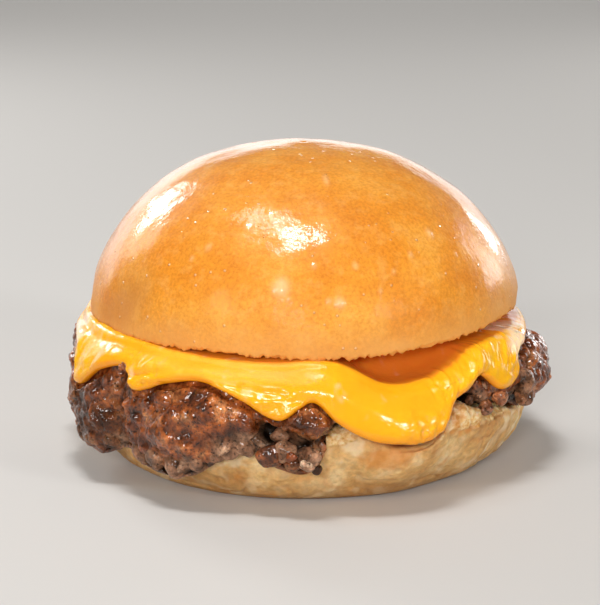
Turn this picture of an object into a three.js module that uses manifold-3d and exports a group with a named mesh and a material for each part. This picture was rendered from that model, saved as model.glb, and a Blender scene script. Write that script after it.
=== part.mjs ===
// A cheeseburger as it is served: a domed bun crown, one melted slice of cheese, one ground beef patty with a
// craggy seared edge, and the bun heel that carries them.
//
// Millimetres, +Z up, origin at the centre of the heel's flat base. An azimuth is in degrees, 0 at the front
// (-Y) and 90 at the right (+X). Each piece is one closed skin: a profile of (radius, height) points that
// changes with the azimuth, carried once round the axis.
import * as THREE from "three";
import { mergeVertices } from "three/addons/utils/BufferGeometryUtils.js";
import Module from "manifold-3d";

// Driving sizes
const gap = 0.45; // between two pieces that lie on each other
const leastGap = 0.3; // to which the patty is cut back where its faces come nearer than that
const wallGap = 1.2; // between the heel's wall and the meat that hangs over it
const crownRadius = 52.5;
const crownMiddle = 37.1; // height at which the crown is widest
const crownRise = 39.2; // from there to its top
const crownSeat = 35.8; // underside of the crown, where it rests on the cheese
const crownCorner = 0.9; // rounding of the crown's cut edge
const crownFlat = 32.6; // radius within which the crown's underside is level
const heelFoot = 43.4; // radius of the face that the burger stands on
const heelBed = 16.8; // height of the heel's middle, which carries the patty
const heelRound = 2.6; // rounding of the heel's rim, seen from above
const heelShoulder = 1.8; // from the rim down to where the wall is widest
const heelSlope = 12.4; // width of the slope from the rim to the bed
const heelFullness = 1.5; // 1 makes the wall straight, 2 makes it a quarter of an ellipse
const pattyCeiling = 32.5;
const pattyFlat = 34; // radius within which the patty's top is level
const pattyLip = 3.2; // from the patty's outermost line in to its lowest
const cheeseThickness = 2.4;
const cheesePlane = 34.15; // middle of the slice where it lies flat under the crown
const cheeseFlat = 36; // radius within which the slice is level
const cheeseLap = 1.8; // from the slice's edge in to the patty's shoulder

// Faces round the axis and along the profiles
const crownColumns = 64;
const columns = 100; // the same for heel, patty and cheese, so that their faces lie alike
const domeSteps = 9;
const heelSteps = { wall: 6, rim: 3, slope: 5 };
const cheeseSteps = [1, 2, 2, 3];
const pattySteps = [2, 2, 1, 3, 5, 6, 3, 1];

// Meat crumbles in grains of these sizes, which change the patty's torn side by these heights
const grains = [
  { size: 11, height: 2.4, seed: 1 },
  { size: 6, height: 1.4, seed: 2 },
];

// What runs round the burger's edge. Rows: azimuth, then values. Between rows the values run smoothly.
const crownRim = [
  // azimuth, height of the cut edge
  [-170, 36.3],
  [-110, 36.0],
  [-60, 35.9],
  [-25, 36.6],
  [10, 35.9],
  [25, 36.3],
  [45, 37.3],
  [62, 38.4],
  [90, 37.3],
  [140, 36.1],
];
const heelRim = [
  // azimuth, radius of the rim, height of the rim
  [-165, 53.4, 15.6],
  [-120, 53.0, 14.6],
  [-70, 52.2, 13.8],
  [-45, 52.4, 13.6],
  [-18, 53.6, 14.2],
  [-6, 54.0, 16.0],
  [10, 55.2, 20.0],
  [24, 56.6, 14.8],
  [33, 56.4, 15.6],
  [42, 55.6, 21.0],
  [53, 55.2, 17.2],
  [60, 55.2, 17.4],
  [75, 55.2, 15.4],
  [100, 54.6, 14.6],
  [135, 53.6, 16.4],
];
const pattyEdge = [
  // azimuth, outermost radius, its height, lowest height
  [-172, 56.5, 23.0, 16.4],
  [-150, 58.0, 21.0, 12.0],
  [-128, 56.0, 23.0, 15.6],
  [-108, 58.6, 22.0, 12.5],
  [-90, 58.4, 19.0, 9.4],
  [-72, 59.2, 14.0, 7.0],
  [-59, 59.2, 13.0, 6.4],
  [-50, 57.4, 15.0, 9.6],
  [-39, 59.0, 17.0, 6.6],
  [-27, 60.4, 18.0, 7.8],
  [-20, 59.0, 21.0, 12.0],
  [-14, 57.6, 23.0, 15.6],
  [-6, 58.8, 19.0, 10.8],
  [3, 59.2, 19.0, 11.2],
  [7.5, 57.4, 21.8, 20.6],
  [12, 53.0, 23.0, 20.0],
  [20, 49.4, 22.0, 17.4],
  [32, 49.4, 22.0, 17.4],
  [42, 52.0, 23.4, 21.0],
  [54, 55.0, 22.4, 19.0],
  [62, 57.2, 22.4, 17.6],
  [70, 59.6, 23.4, 15.4],
  [80, 61.0, 25.0, 15.0],
  [88, 61.0, 25.0, 14.6],
  [102, 59.6, 22.0, 14.0],
  [122, 56.8, 22.5, 16.6],
  [150, 58.8, 21.0, 12.6],
];
const cheeseEdge = [
  // azimuth, radius and height where the slice turns down, radius, height and thickness of its edge
  [-172, 51.6, 33.4, 57.0, 29.0, 2.4],
  [-156, 52.0, 33.2, 58.2, 22.6, 2.8],
  [-136, 51.6, 33.6, 56.0, 30.4, 2.4],
  [-110, 51.0, 33.4, 55.0, 31.0, 2.4],
  [-84, 51.4, 33.5, 55.8, 31.4, 2.4],
  [-71.5, 52.0, 33.4, 57.4, 30.4, 2.5],
  [-67, 52.4, 33.4, 58.6, 22.6, 2.9],
  [-56, 52.4, 33.4, 58.2, 28.5, 2.6],
  [-46, 52.4, 33.6, 57.4, 31.0, 2.3],
  [-42.5, 52.6, 33.4, 58.6, 26.5, 2.6],
  [-33, 52.6, 33.6, 58.2, 29.6, 2.4],
  [-24, 52.6, 33.6, 57.9, 31.2, 2.3],
  [-14, 52.4, 33.2, 58.1, 27.4, 2.4],
  [-5.5, 52.6, 33.3, 58.6, 23.4, 2.6],
  [2, 53.2, 33.6, 58.2, 27.5, 2.3],
  [7, 54.0, 32.9, 59.4, 23.2, 2.9],
  [11.5, 54.4, 30.9, 60.0, 20.2, 3.4],
  [16, 54.8, 28.6, 60.4, 18.2, 3.9],
  [21, 55.0, 26.9, 60.6, 17.2, 4.3],
  [26, 55.0, 26.3, 60.6, 16.8, 4.4],
  [31, 54.8, 26.7, 60.2, 18.6, 4.0],
  [35.5, 54.4, 27.8, 58.8, 24.2, 3.2],
  [40.5, 53.9, 29.8, 58.4, 26.6, 2.8],
  [46, 53.2, 32.6, 57.4, 29.0, 2.5],
  [53, 53.0, 33.2, 58.0, 24.2, 2.8],
  [60, 53.2, 33.6, 57.9, 25.2, 2.7],
  [64, 53.0, 33.8, 57.0, 31.2, 2.4],
  [84, 51.2, 33.5, 54.6, 31.6, 2.3],
  [98, 51.0, 33.4, 54.4, 31.2, 2.4],
  [112, 51.6, 33.4, 57.2, 26.0, 2.6],
  [134, 51.6, 33.4, 56.6, 29.8, 2.4],
  [158, 51.8, 33.4, 58.0, 24.4, 2.7],
];
const pattyLumps = [
  // azimuth, height, size, how far it stands out, or in where that is negative
  [-89, 27, 5, 1.6],
  [-86, 18.5, 5, -3.6],
  [-62, 19, 8, 1.0],
  [-27, 21, 11, 1.2],
  [-50.5, 12, 4, -1.6],
  [-51.5, 19, 3.5, -1.6],
  [-10.5, 20, 3.6, -3.6],
  [-0.5, 23.6, 5.5, 1.6],
  [-3, 19.6, 3, -2.6],
  [-6.5, 14.4, 4, 1.6],
  [1.2, 14.4, 4, 1.6],
  [8, 22, 4, -1.6],
  [50.5, 23.6, 2.8, 1.6],
  [49, 20.6, 2.8, 1.2],
  [78, 18, 5, 1.0],
];

const degrees = Math.PI / 180;
const fraction = (x) => x - Math.floor(x);
const between = (x, low, high) => Math.min(1, Math.max(0, (x - low) / (high - low)));
const ease = (t) => t * t * (3 - 2 * t);
const mix = (a, b, t) => a + (b - a) * t;
const spot = (radius, height) => new THREE.Vector2(radius, height);

// A smooth closed curve through the rows: a cubic between two rows, with the slope of the line that joins the
// rows on both sides. Returns a function of the azimuth.
function around(rows) {
  const count = rows.length;
  const row = (i) => {
    const turns = Math.floor(i / count);
    const [azimuth, ...values] = rows[i - turns * count];
    return { azimuth: azimuth + 360 * turns, values };
  };
  return (azimuth) => {
    const start = rows[0][0];
    const wrapped = start + 360 * fraction((azimuth - start) / 360);
    let i = 0;
    while (row(i + 1).azimuth <= wrapped) i++;
    const [a, b, c, d] = [row(i - 1), row(i), row(i + 1), row(i + 2)];
    const span = c.azimuth - b.azimuth;
    const t = (wrapped - b.azimuth) / span;
    return b.values.map((_, k) => {
      const slopeB = ((c.values[k] - a.values[k]) / (c.azimuth - a.azimuth)) * span;
      const slopeC = ((d.values[k] - b.values[k]) / (d.azimuth - b.azimuth)) * span;
      const [p, q] = [b.values[k], c.values[k]];
      const bow = 3 * (q - p) - 2 * slopeB - slopeC;
      return p + t * slopeB + t * t * bow + t * t * t * (q - p - slopeB - bow);
    });
  };
}

// The height of rounded pebbles packed together, from 0 in the seams between them to 1 on their tops.
// Each cube of the given size holds one pebble's middle, placed by a hash of the cube's own numbers.
function pebbles([x, y, z], size, seed) {
  const hash = (i, j, k, n) => {
    const mixed = 127.1 * i + 311.7 * j + 74.7 * k + 53.3 * (seed + n);
    return fraction(43758.5453 * Math.sin(mixed));
  };
  const [cx, cy, cz] = [x / size, y / size, z / size];
  const [i0, j0, k0] = [Math.floor(cx), Math.floor(cy), Math.floor(cz)];
  let nearest = Infinity;
  for (let i = i0 - 1; i <= i0 + 1; i++)
    for (let j = j0 - 1; j <= j0 + 1; j++)
      for (let k = k0 - 1; k <= k0 + 1; k++) {
        const dx = i + hash(i, j, k, 1) - cx;
        const dy = j + hash(i, j, k, 2) - cy;
        const dz = k + hash(i, j, k, 3) - cz;
        nearest = Math.min(nearest, dx * dx + dy * dy + dz * dz);
      }
  return 1 - Math.min(1, nearest);
}

// A smooth curve through the corners, with its own number of steps from each corner to the next.
function through(corners, steps) {
  const curve = new THREE.CatmullRomCurve3(
    corners.map(([radius, height]) => new THREE.Vector3(radius, 0, height)),
    false,
    "centripetal",
  );
  const points = [spot(...corners[0])];
  steps.forEach((count, span) => {
    for (let i = 1; i <= count; i++) {
      const { x, z } = curve.getPoint((span + i / count) / steps.length);
      points.push(spot(x, z));
    }
  });
  return points;
}

// Which way a profile faces at one of its points: square to the line that joins its neighbours.
function facing(profile, i) {
  const before = profile[Math.max(0, i - 1)];
  const after = profile[Math.min(profile.length - 1, i + 1)];
  return spot(after.y - before.y, before.x - after.x).normalize();
}

// The profile moved outwards all along by the same distance. Its ends stay on the axis.
function grown(profile, distance) {
  return profile.map((point, i) => {
    const moved = point.clone().addScaledVector(facing(profile, i), distance);
    return point.x === 0 ? spot(0, moved.y) : moved;
  });
}

// A closed skin from profiles that all start and end on the axis, with one column of points for each azimuth.
function skin(columns, profileAt, grow = 0) {
  const profiles = Array.from({ length: columns }, (_, c) => grown(profileAt((360 * c) / columns - 180), grow));
  const rows = profiles[0].length - 1;
  const position = profiles.flatMap((profile, c) => {
    const turn = ((360 * c) / columns - 180) * degrees;
    return profile.flatMap(({ x, y }) => [x * Math.sin(turn), -x * Math.cos(turn), y]);
  });
  const at = (c, r) => (c % columns) * (rows + 1) + r;
  const index = [];
  for (let c = 0; c < columns; c++)
    for (let r = 0; r < rows; r++) {
      if (r > 0) index.push(at(c, r), at(c + 1, r), at(c + 1, r + 1));
      if (r < rows - 1) index.push(at(c, r), at(c + 1, r + 1), at(c, r + 1));
    }
  const geometry = new THREE.BufferGeometry();
  geometry.setAttribute("position", new THREE.Float32BufferAttribute(position, 3));
  geometry.setIndex(index);
  const closed = mergeVertices(geometry, 1e-4);
  closed.computeVertexNormals();
  return closed;
}

const wasm = await Module();
wasm.setup();

function solid(geometry) {
  const vertProperties = geometry.attributes.position.array;
  const triVerts = new Uint32Array(geometry.index.array);
  return new wasm.Manifold(new wasm.Mesh({ numProp: 3, vertProperties, triVerts }));
}

// What is left of a geometry once its neighbours are cut from it.
function without(geometry, neighbours) {
  const rest = neighbours.reduce((left, other) => left.subtract(solid(other)), solid(geometry)).getMesh();
  const left = new THREE.BufferGeometry();
  left.setAttribute("position", new THREE.Float32BufferAttribute(rest.vertProperties, rest.numProp));
  left.setIndex(new THREE.BufferAttribute(rest.triVerts, 1));
  left.computeVertexNormals();
  return left;
}

const rimAt = around(crownRim);
const heelAt = around(heelRim);
const pattyAt = around(pattyEdge);
const cheeseAt = around(cheeseEdge);

// The crown: the upper half of an ellipsoid, cut flat underneath, with a cut edge that lifts at the right.
function crown() {
  return skin(crownColumns, (azimuth) => {
    const [rim] = rimAt(azimuth);
    const cut = Math.acos((rim + crownCorner - crownMiddle) / crownRise);
    const underside = [
      spot(0, crownSeat),
      spot(crownFlat, crownSeat),
      spot(mix(crownFlat, crownRadius, 0.7), mix(crownSeat, rim, 0.5)),
      spot(crownRadius - crownCorner, rim),
      spot(crownRadius - 0.3 * crownCorner, rim + 0.3 * crownCorner),
    ];
    const dome = Array.from({ length: domeSteps + 1 }, (_, i) => {
      const turn = cut * (1 - i / domeSteps);
      return spot(crownRadius * Math.sin(turn), crownMiddle + crownRise * Math.cos(turn));
    });
    return [...underside, ...dome];
  });
}

// Height of the heel's upper face at a radius: the bed, then an eased slope to the rim, then the rounded rim.
function heelTop(azimuth, radius) {
  const [rimRadius, rimHeight] = heelAt(azimuth);
  const inner = rimRadius - heelRound;
  const over = between(radius, inner, rimRadius);
  const slope = mix(heelBed, rimHeight, ease(between(radius, inner - heelSlope, inner)));
  return slope - heelShoulder * (1 - Math.sqrt(1 - over * over));
}

// Radius of the heel's wall at a height: a full curve from the foot to the widest line, then the rounded rim.
function heelWall(azimuth, height) {
  const [rimRadius, rimHeight] = heelAt(azimuth);
  const widest = rimHeight - heelShoulder;
  if (height > widest) {
    const up = between(height, widest, rimHeight);
    return rimRadius - heelRound * (1 - Math.sqrt(1 - up * up));
  }
  const down = 1 - Math.max(0, height) / widest;
  return heelFoot + (rimRadius - heelFoot) * (1 - down ** heelFullness) ** (1 / heelFullness);
}

// The heel: a shallow bowl of soft bread with a flat foot, a rim that the filling presses down, and a bed.
function heel(grow) {
  const { wall, rim, slope } = heelSteps;
  const profileAt = (azimuth) => {
    const [rimRadius, rimHeight] = heelAt(azimuth);
    const widest = rimHeight - heelShoulder;
    const points = [spot(0, 0), spot(heelFoot, 0)];
    for (let i = 1; i <= wall; i++) {
      const turn = (90 * degrees * i) / wall;
      const height = widest * (1 - Math.cos(turn) ** (2 / heelFullness));
      points.push(spot(heelWall(azimuth, height), height));
    }
    for (let i = 1; i <= rim; i++) {
      const height = mix(widest, rimHeight, Math.sin((90 * degrees * i) / rim));
      points.push(spot(heelWall(azimuth, height), height));
    }
    for (let i = 1; i <= slope; i++) {
      const radius = rimRadius - heelRound - (heelSlope * i) / slope;
      points.push(spot(radius, heelTop(azimuth, radius)));
    }
    return [...points, spot(0, heelBed)];
  };
  return skin(columns, profileAt, grow);
}

// The middle line of the slice at one azimuth, outwards from the flat part, and its thickness at each point.
function cheeseLine(azimuth) {
  const [bendRadius, bendHeight, edgeRadius, edgeHeight, edge] = cheeseAt(azimuth);
  const line = through(
    [
      [cheeseFlat, cheesePlane],
      [mix(cheeseFlat, bendRadius, 0.5), mix(cheesePlane, bendHeight, 0.5)],
      [bendRadius, bendHeight],
      [mix(bendRadius, edgeRadius, 0.62), mix(bendHeight, edgeHeight, 0.38)],
      [edgeRadius, edgeHeight],
    ],
    cheeseSteps,
  );
  const thickness = line.map((_, i) => mix(cheeseThickness, edge, ease(i / (line.length - 1))));
  return { line, thickness };
}

// Height of a line of points at a radius.
function lineHeight(line, radius) {
  const i = Math.max(1, line.findIndex((point) => point.x > radius));
  return mix(line[i - 1].y, line[i].y, between(radius, line[i - 1].x, line[i].x));
}

// The cheese: a slice that lies flat, turns down over the patty and ends in a rounded edge.
function cheeseSheet(grow) {
  const profileAt = (azimuth) => {
    const { line, thickness } = cheeseLine(azimuth);
    const face = (side) =>
      line.map((point, i) => {
        const rounding = i === line.length - 1 ? 0.55 : 1;
        return point.clone().addScaledVector(facing(line, i), -side * 0.5 * rounding * thickness[i]);
      });
    const middle = (side) => spot(0, cheesePlane + 0.5 * side * cheeseThickness);
    return [middle(-1), ...face(-1), ...face(1).reverse(), middle(1)];
  };
  return skin(columns, profileAt, grow);
}

// Moves a point of the filling off the bread: up off its upper face or outwards off its wall, whichever is less.
function offBread(point, azimuth) {
  const up = heelTop(azimuth, point.x) + gap - point.y;
  const out = heelWall(azimuth, point.y) + wallGap - point.x;
  if (up <= 0 || out <= 0) return point;
  return up < out ? spot(point.x, point.y + up) : spot(point.x + out, point.y);
}

// Moves a point of the filling back under the slice, where it comes nearer to it than the gap. Past the
// slice's edge the meat may stand out as far as it likes.
function underCheese(point, { line, thickness }) {
  let nearest = { distance: Infinity };
  for (let i = 0; i < line.length - 1; i++) {
    const way = line[i + 1].clone().sub(line[i]);
    const t = between(point.clone().sub(line[i]).dot(way) / way.lengthSq(), 0, 1);
    const foot = line[i].clone().addScaledVector(way, t);
    const distance = foot.distanceTo(point);
    if (distance < nearest.distance) nearest = { distance, foot, i: t > 0.5 ? i + 1 : i, t };
  }
  const { distance, foot, i, t } = nearest;
  const keep = 0.5 * thickness[i] + gap;
  const away = point.clone().sub(foot);
  const inwards = facing(line, i);
  const pastEdge = i === line.length - 1 && t === 1;
  if (!pastEdge && away.dot(inwards) < 0) return foot.addScaledVector(inwards, keep);
  return distance < keep ? foot.addScaledVector(away.normalize(), keep) : point;
}

// How far the torn meat stands out at a place: its grains, and the lumps and hollows of the table.
function crags(azimuth, radius, height) {
  const turn = azimuth * degrees;
  const place = [radius * Math.sin(turn), -radius * Math.cos(turn), height];
  const grain = grains.reduce((sum, kind) => sum + kind.height * (pebbles(place, kind.size, kind.seed) - 0.75), 0);
  return pattyLumps.reduce((sum, [at, level, size, out]) => {
    const across = (((azimuth - at + 540) % 360) - 180) * degrees * radius;
    return sum + out * Math.exp(-(across ** 2 + (height - level) ** 2) / size ** 2);
  }, grain);
}

// The outline of the patty at one azimuth, before its crags: along the bread, over the rim, down to the lip,
// round its side, and back under the slice.
function pattyOutline(azimuth, slice) {
  const [reach, middle, low] = pattyAt(azimuth);
  const [rimRadius] = heelAt(azimuth);
  const edge = slice.line[slice.line.length - 1];
  const innerRim = rimRadius - heelRound;
  const bedEdge = innerRim - heelSlope;
  const overRim = Math.min(innerRim + 1.1, reach - 2.3 - pattyLip);
  const lip = reach - pattyLip;
  const hangs = lip > rimRadius + 0.5 * wallGap;
  const lowest = hangs ? low : Math.max(low, heelTop(azimuth, Math.min(lip, innerRim)) + gap);
  const shoulder = Math.min(edge.x, reach - 0.6) - cheeseLap;
  const onBread = (radius) => [radius, heelTop(azimuth, radius) + gap];
  const belowSlice = (radius) => [radius, lineHeight(slice.line, radius) - 0.5 * cheeseThickness - gap];
  const outline = through(
    [
      onBread(bedEdge),
      onBread(mix(bedEdge, overRim, 0.5)),
      onBread(overRim),
      onBread(Math.min(mix(overRim, lip, 0.5), rimRadius - 0.5)),
      [lip, lowest],
      [reach, middle],
      belowSlice(shoulder),
      belowSlice(shoulder - 6),
      [pattyFlat, pattyCeiling],
    ],
    pattySteps,
  );
  return { outline, lowest };
}

// The patty: pressed thin in the middle and torn at the edge, which hangs over the heel's rim. Where bread and
// cheese leave it bare, it is craggy.
function patty() {
  const profileAt = (azimuth) => {
    const slice = cheeseLine(azimuth);
    const edge = slice.line[slice.line.length - 1];
    const { outline, lowest } = pattyOutline(azimuth, slice);
    const settled = outline.map((point, i) => {
      const normal = facing(outline, i);
      const onSide = ease(between(normal.x, 0.1, 0.7));
      const belowEdge = ease(between(edge.y - point.y, -1.5, 2.5));
      const aboveLip = ease(between(point.y - lowest, 0, 4));
      const out = onSide * belowEdge * crags(azimuth, point.x, point.y);
      const rough = point.clone().addScaledVector(normal, Math.max(out, out * aboveLip));
      return offBread(underCheese(rough, slice), azimuth);
    });
    return [spot(0, heelBed + gap), ...settled, spot(0, pattyCeiling)];
  };
  return without(skin(columns, profileAt), [heel(leastGap), cheeseSheet(leastGap)]);
}

const finishes = {
  crown: { color: 0xe9a04a, roughness: 0.3 },
  cheese: { color: 0xffb91c, roughness: 0.35 },
  patty: { color: 0x5f3826, roughness: 0.4 },
  heel: { color: 0xdcb27a, roughness: 0.8 },
};

function piece(name, geometry, finish) {
  const mesh = new THREE.Mesh(geometry, new THREE.MeshStandardMaterial({ ...finish, metalness: 0 }));
  mesh.name = name;
  return mesh;
}

const burger = new THREE.Group();
burger.add(piece("bun_heel", heel(), finishes.heel));
burger.add(piece("patty", patty(), finishes.patty));
burger.add(piece("cheese_slice", cheeseSheet(), finishes.cheese));
burger.add(piece("bun_crown", crown(), finishes.crown));

export default burger;
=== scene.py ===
import bpy
import numpy as np
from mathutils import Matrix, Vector


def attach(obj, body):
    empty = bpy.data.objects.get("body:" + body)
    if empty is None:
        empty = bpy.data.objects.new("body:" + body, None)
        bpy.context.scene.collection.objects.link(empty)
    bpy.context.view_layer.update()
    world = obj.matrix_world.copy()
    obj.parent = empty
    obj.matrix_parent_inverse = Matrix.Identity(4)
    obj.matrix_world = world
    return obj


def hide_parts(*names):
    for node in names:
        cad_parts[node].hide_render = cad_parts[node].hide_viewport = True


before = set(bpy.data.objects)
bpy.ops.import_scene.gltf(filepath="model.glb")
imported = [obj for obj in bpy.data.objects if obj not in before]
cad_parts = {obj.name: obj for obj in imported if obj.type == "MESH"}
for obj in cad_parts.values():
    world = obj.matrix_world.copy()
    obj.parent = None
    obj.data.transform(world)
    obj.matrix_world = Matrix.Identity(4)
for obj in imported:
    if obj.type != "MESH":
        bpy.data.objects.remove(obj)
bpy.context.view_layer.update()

# The bun heel: the soft lower half of a white hamburger bun. It was baked on a flat tray, sliced, and pressed
# into a shallow bowl by what it carries, so its thin pale skin is creased all over and the torn crumb shows on
# its rim.
mm = 0.001
heel_foot, heel_bed = 43.4, 16.8
heel_round, heel_shoulder, heel_slope, heel_fullness = 2.6, 1.8, 12.4, 1.5
heel_rim = [
    # azimuth, radius of the rim, height of the rim
    (-165, 53.4, 15.6), (-120, 53.0, 14.6), (-70, 52.2, 13.8), (-45, 52.4, 13.6), (-18, 53.6, 14.2),
    (-6, 54.0, 16.0), (10, 55.2, 20.0), (24, 56.6, 14.8), (33, 56.4, 15.6), (42, 55.6, 21.0),
    (53, 55.2, 17.2), (60, 55.2, 17.4), (75, 55.2, 15.4), (100, 54.6, 14.6), (135, 53.6, 16.4),
]


def around(rows, azimuth):
    """Smooth closed curves through rows of (azimuth, values): between two rows a cubic, whose slope at a row is
    that of the line that joins the rows on both sides. Gives one array for each value."""
    rows = np.array(rows, float)
    lap = np.zeros(rows.shape[1])
    lap[0] = 360
    laps = np.concatenate([rows - lap, rows, rows + lap])
    at, values = laps[:, 0], laps[:, 1:]
    slopes = np.zeros_like(values)
    slopes[1:-1] = (values[2:] - values[:-2]) / (at[2:] - at[:-2])[:, None]
    wrapped = rows[0, 0] + (np.asarray(azimuth, float) - rows[0, 0]) % 360
    i = np.searchsorted(at, wrapped, side="right") - 1
    span = (at[i + 1] - at[i])[..., None]
    t = (wrapped - at[i])[..., None] / span
    p, q, slope_p, slope_q = values[i], values[i + 1], slopes[i] * span, slopes[i + 1] * span
    bow = 3 * (q - p) - 2 * slope_p - slope_q
    return np.moveaxis(p + t * slope_p + t**2 * bow + t**3 * (q - p - slope_p - bow), -1, 0)


def between(x, low, high):
    """0 up to low, 1 from high on, and even in between."""
    return np.clip((x - low) / (high - low), 0, 1)


def eased(x, low, high):
    """Like between, with a soft start and end: 3 t^2 - 2 t^3."""
    t = between(x, low, high)
    return t * t * (3 - 2 * t)


def mix(a, b, t):
    """a where t is 0, b where it is 1, and even in between."""
    return a + (b - a) * t


def hashed(cell, salt):
    """A number from 0 to 1 for each cell of whole x, y, z: what is left after the point of a large multiple of
    the sine of a mix of the three."""
    mixed = cell @ np.array([127.1, 311.7, 74.7]) + 53.3 * salt
    large = 43758.5453 * np.sin(mixed)
    return large - np.floor(large)


def noise(place, size, seed, octaves=1):
    """Soft bumps from about -1 to 1, the size of one bump in mm: each corner of a cube of that size has a slope
    of its own, and the slopes are blended over the cube. Each further octave is half as large and half as high."""
    total = 0
    for octave in range(octaves):
        at = place / size * 2**octave + 17.3 * (seed + octave)
        cell = np.floor(at)
        inside = at - cell
        blend = inside**3 * (inside * (6 * inside - 15) + 10)
        for corner in np.ndindex(2, 2, 2):
            corner = np.array(corner)
            slope = np.stack([2 * hashed(cell + corner, seed + k) - 1 for k in (5, 6, 7)], -1)
            weight = np.prod(np.where(corner == 1, blend, 1 - blend), -1)
            total = total + weight * np.sum(slope * (inside - corner), -1) / 2**octave
    return 1.6 * total


def grains(place, size, seed):
    """Grains packed together, one in each cube of the size: the distance to the nearest grain's middle, in
    sizes, and a number from 0 to 1 that belongs to that grain."""
    at = place / size
    cell = np.floor(at)
    nearest, own = np.full(place.shape[:-1], np.inf), np.zeros(place.shape[:-1])
    for step in np.ndindex(3, 3, 3):
        near = cell + np.array(step) - 1
        middle = near + np.stack([hashed(near, seed + k) for k in (1, 2, 3)], -1)
        distance = np.linalg.norm(middle - at, axis=-1)
        own = np.where(distance < nearest, hashed(near, seed + 4), own)
        nearest = np.minimum(nearest, distance)
    return nearest, own


def turned(azimuth, radius, height):
    """Points in mm from azimuths in degrees (0 at the front, 90 at the right), radii and heights."""
    turn = np.radians(azimuth)
    return np.stack([radius * np.sin(turn), -radius * np.cos(turn), height + 0 * radius], -1)


def outward(points):
    """The outward normals of a grid of points that runs round the axis and then from the bottom centre up to the
    top centre: the cross product of the steps to the neighbours in the two directions."""
    across = np.roll(points, -1, 0) - np.roll(points, 1, 0)
    normal = np.cross(across, np.gradient(points, axis=1))
    return normal / np.maximum(np.linalg.norm(normal, axis=-1, keepdims=True), 1e-9)


def skin(name, *grids, **marks):
    """A mesh of closed skins, one for each grid of points in mm: columns round an axis, and rows from the bottom
    pole to the top one, where the first and the last row are one point each. Marks are values kept at the
    points, one grid of them for each skin."""
    places, faces, kept, first = [], [], {mark: [] for mark in marks}, 0
    for k, points in enumerate(grids):
        columns, rows = points.shape[:2]
        bottom, top = first + columns * (rows - 2), first + columns * (rows - 2) + 1
        places.append(np.concatenate([points[:, 1:-1].reshape(-1, 3), points[:1, 0], points[:1, -1]]))
        at = first + np.arange(columns * (rows - 2)).reshape(columns, rows - 2)
        beside = np.roll(at, -1, 0)
        faces += np.stack([at[:, :-1], beside[:, :-1], beside[:, 1:], at[:, 1:]], -1).reshape(-1, 4).tolist()
        faces += np.stack([np.full(columns, bottom), beside[:, 0], at[:, 0]], -1).tolist()
        faces += np.stack([np.full(columns, top), at[:, -1], beside[:, -1]], -1).tolist()
        for mark, values in marks.items():
            kept[mark] += [values[k][:, 1:-1].ravel(), values[k][:1, 0], values[k][:1, -1]]
        first = top + 1
    mesh = bpy.data.meshes.new(name)
    mesh.from_pydata((np.concatenate(places) * mm).tolist(), [], faces)
    mesh.polygons.foreach_set("use_smooth", np.ones(len(faces), bool))
    for mark, values in kept.items():
        values = np.concatenate(values).astype(np.float32)
        mesh.attributes.new(mark, "FLOAT", "POINT").data.foreach_set("value", values)
    mesh.update()
    piece = bpy.data.objects.new(name, mesh)
    bpy.context.scene.collection.objects.link(piece)
    return piece


def heel_top(azimuth, radius):
    """Height of the upper face at a radius: the bed, then an eased slope up to the rim, then the rounded rim."""
    rim_radius, rim_height = around(heel_rim, azimuth)
    inner = rim_radius - heel_round
    over = between(radius, inner, rim_radius)
    slope = mix(heel_bed, rim_height, eased(radius, inner - heel_slope, inner))
    return slope - heel_shoulder * (1 - np.sqrt(1 - over**2))


def heel_wall(azimuth, height):
    """Radius of the wall at a height: a full curve out from the foot to the widest line, then the rounded rim."""
    rim_radius, rim_height = around(heel_rim, azimuth)
    widest = rim_height - heel_shoulder
    up = between(height, widest, rim_height)
    down = 1 - np.clip(height, 0, widest) / widest
    full = heel_foot + (rim_radius - heel_foot) * (1 - down**heel_fullness) ** (1 / heel_fullness)
    return np.where(height > widest, rim_radius - heel_round * (1 - np.sqrt(1 - up**2)), full)


def lumps(azimuth, radius, height, table):
    """The sum of a table's lumps and hollows, each a bell shape over its place on a side: azimuth, height, size
    and how far it stands out, or in where that is negative."""
    total = 0 * radius
    for at, level, size, out in table:
        across = np.radians((azimuth - at + 540) % 360 - 180) * radius
        total = total + out * np.exp(-(across**2 + (height - level) ** 2) / size**2)
    return total


# places on the heel's side: azimuth, height, size, strength
heel_ledge = [(37.5, 20, 3.0, 1), (42, 19.6, 3.2, 1), (46.5, 18.2, 2.6, 1), (12, 20, 3, 0.6)]
# fat stains; those under the cheese lobe and along the foot of the torn ledge are also painted shade
heel_stains = [
    (19, 13.5, 5.0, 1.0), (26, 14.5, 3.5, 0.8), (34, 15.5, 2.5, 0.6), (-2, 11, 4.0, 0.5), (-34, 4.6, 2.4, 0.7),
    (39, 16.0, 1.2, 1.0), (42, 15.6, 1.2, 1.0), (45, 15.5, 1.1, 1.0), (48, 15.8, 1.1, 0.9), (4, 14.6, 1.5, 0.6),
]
heel_rubbed = [(-18, 12.5, 3, 1.0), (-12, 15, 2.4, 1.2), (-24, 10, 2.5, 0.6), (12, 16, 3, 0.9), (6, 12, 2.5, 0.5)]


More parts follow.
